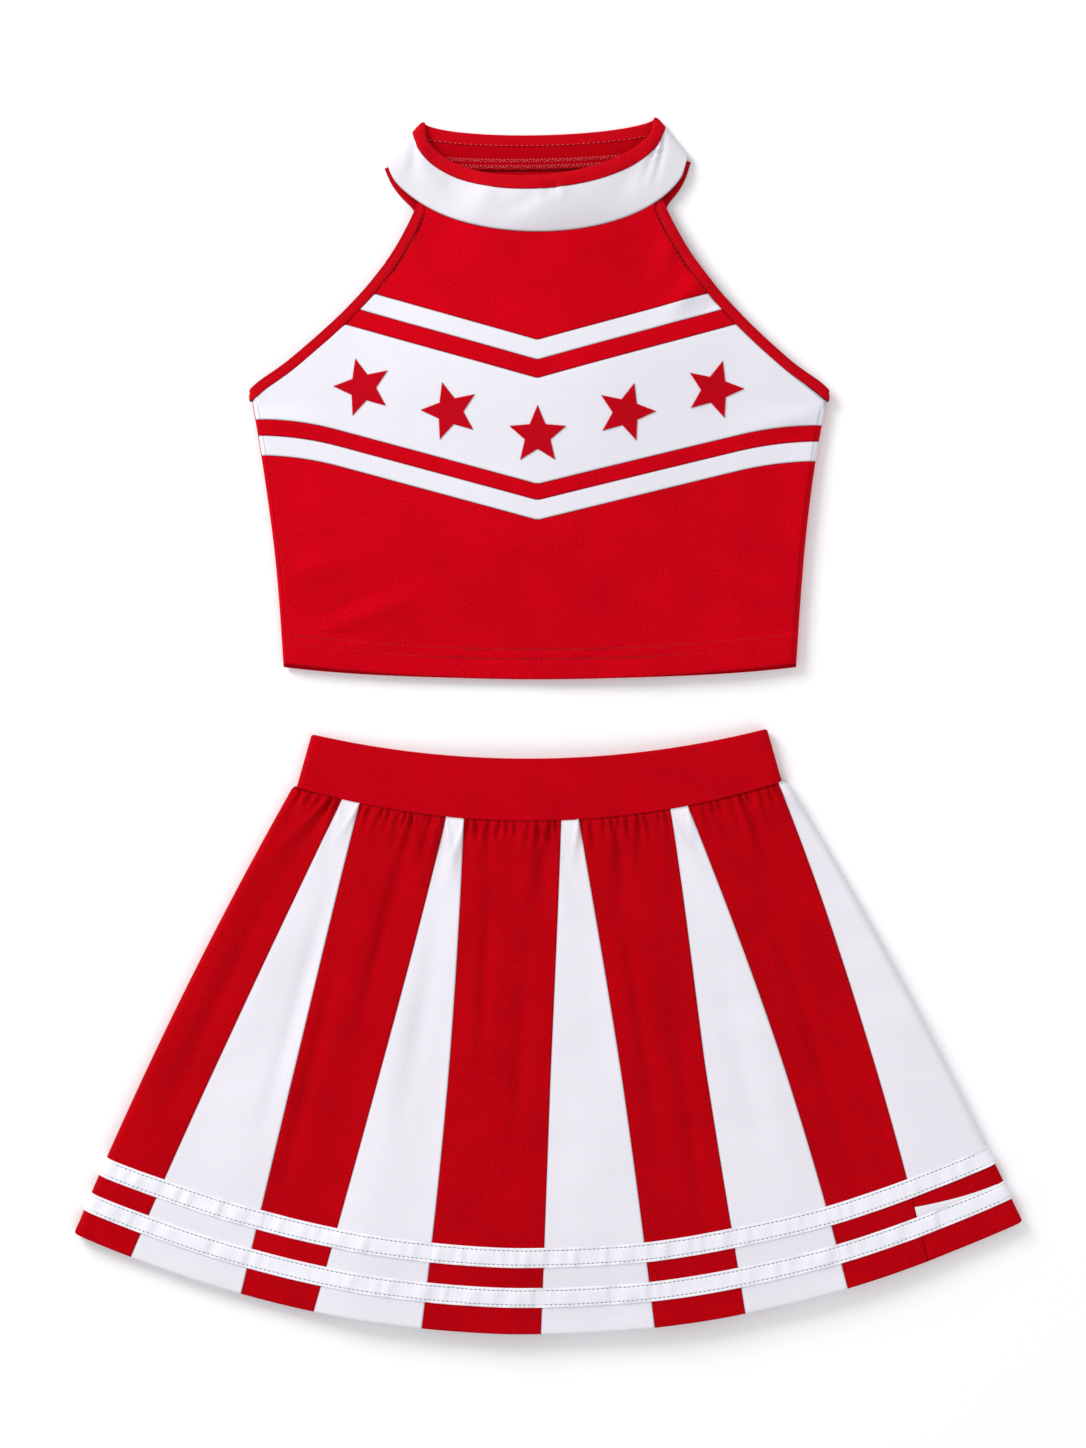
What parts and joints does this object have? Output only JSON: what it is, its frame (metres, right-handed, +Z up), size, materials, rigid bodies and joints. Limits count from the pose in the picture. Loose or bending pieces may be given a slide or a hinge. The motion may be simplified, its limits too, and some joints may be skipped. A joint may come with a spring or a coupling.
{
  "type": "cheer uniform",
  "caption": "Two-piece cheer uniform laid flat: sleeveless halter crop top with stand collar and chevrons, and a gored flared skirt with hem ribbons.",
  "frame": {"origin": "on the table, under the middle of the whole layout", "axes": "+Z up from the table, through both layers; +Y from the skirt's hem to the collar; +X to the right as seen from above with the collar away from the viewer"},
  "size_m": [0.66, 0.847, 0.0216],
  "materials": {
    "red_knit": "matte double knit",
    "white_knit": "matte double knit",
    "red_binding": "folded satin-backed knit binding",
    "red_applique": "heat-set twill",
    "white_ribbon": "fine grosgrain ribbon",
    "interfacing": "stiff non-woven felt",
    "elastic_web": "woven elastic web"
  },
  "bodies": {
    "crop_top": {"collar_shell": "white_knit", "collar_interfacing": "interfacing", "collar_lining": "red_knit", "collar_binding": "red_binding", "front_yoke": "red_knit", "upper_white_chevron": "white_knit", "upper_red_chevron": "red_knit", "chest_band": "white_knit", "lower_red_chevron": "red_knit", "lower_white_chevron": "white_knit", "front_lower_panel": "red_knit", "back_panel": "red_knit", "armhole_binding_left": "red_binding", "armhole_binding_right": "red_binding", "star_1": "red_applique", "star_2": "red_applique", "star_3": "red_applique", "star_4": "red_applique", "star_5": "red_applique"},
    "skirt": {"waistband_casing": "red_knit", "waistband_elastic": "elastic_web", "gore_01_red": "red_knit", "gore_02_white": "white_knit", "gore_03_red": "red_knit", "gore_04_white": "white_knit", "gore_05_red": "red_knit", "gore_06_white": "white_knit", "gore_07_red": "red_knit", "gore_08_white": "white_knit", "gore_09_red": "red_knit", "gore_10_white": "white_knit", "gore_11_red": "red_knit", "gore_12_white": "white_knit", "gore_13_red": "red_knit", "gore_14_white": "white_knit", "gore_15_red": "red_knit", "gore_16_white": "white_knit", "gore_17_red": "red_knit", "gore_18_white": "white_knit", "side_hem_block": "red_knit", "hem_ribbon_upper": "white_ribbon", "hem_ribbon_lower": "white_ribbon", "side_flap": "white_knit"}
  },
  "joints": [
    {"name": "skirt_lift", "type": "slide", "parent": "crop_top", "child": "skirt", "axis": [0, 0, 1], "range_m": [0, 0.25]}
  ]
}
